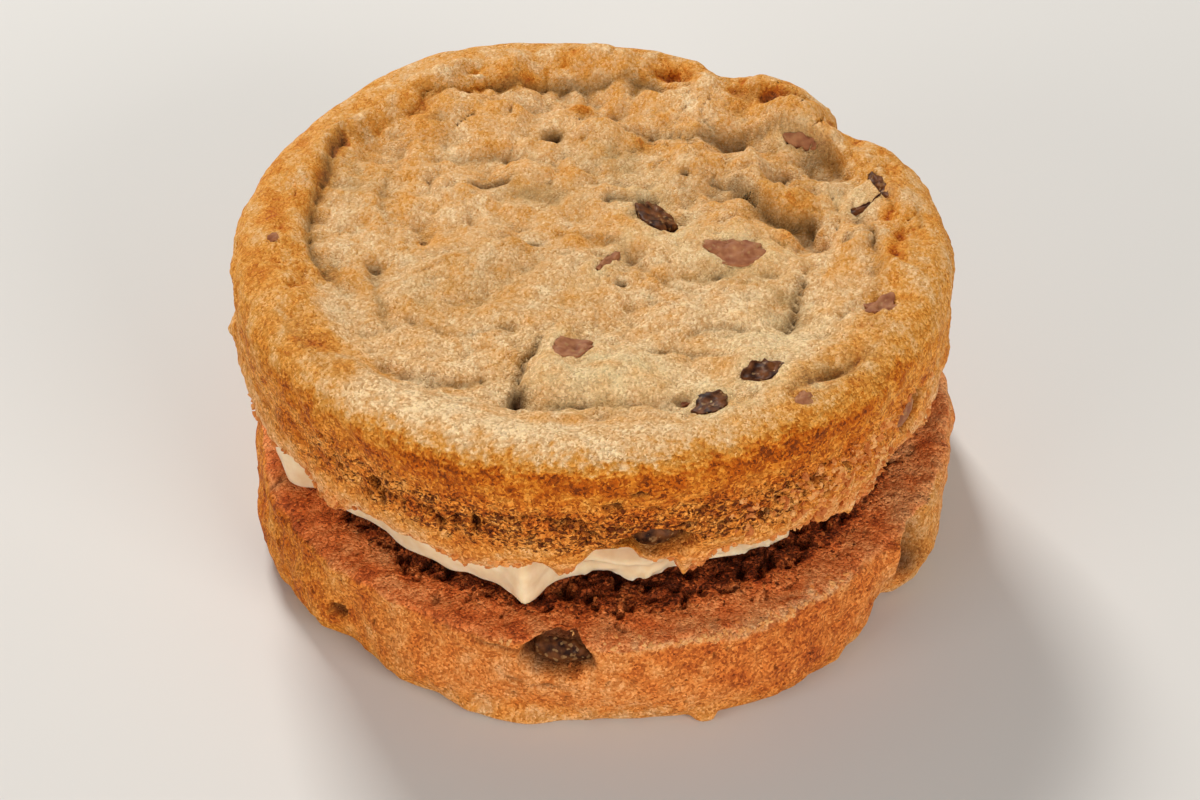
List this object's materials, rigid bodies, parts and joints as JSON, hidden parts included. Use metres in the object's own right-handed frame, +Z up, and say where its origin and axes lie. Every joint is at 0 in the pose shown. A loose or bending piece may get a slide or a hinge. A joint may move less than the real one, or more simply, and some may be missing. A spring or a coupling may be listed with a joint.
{
  "type": "cookie ice cream sandwich",
  "caption": "Thick chocolate chip cookies stacked base to base round a slab of vanilla ice cream, resting on the rim of the lower cookie.",
  "frame": {"origin": "on the surface that the sandwich rests on, under the middle of its outline", "axes": "+Z up through both cookies and the ice cream; -Y is the front, where the ice cream shows; +X to the right seen from the front"},
  "size_m": [0.086, 0.0844, 0.0402],
  "materials": {
    "cookie_crust": "matte golden baked cookie crust",
    "cookie_base": "matte reddish brown baked cookie, porous on its flat base",
    "ice_cream": "soft satin ivory ice cream"
  },
  "bodies": {
    "root": {"lower_cookie": "cookie_base", "ice_cream": "ice_cream", "upper_cookie": "cookie_crust"}
  },
  "joints": []
}
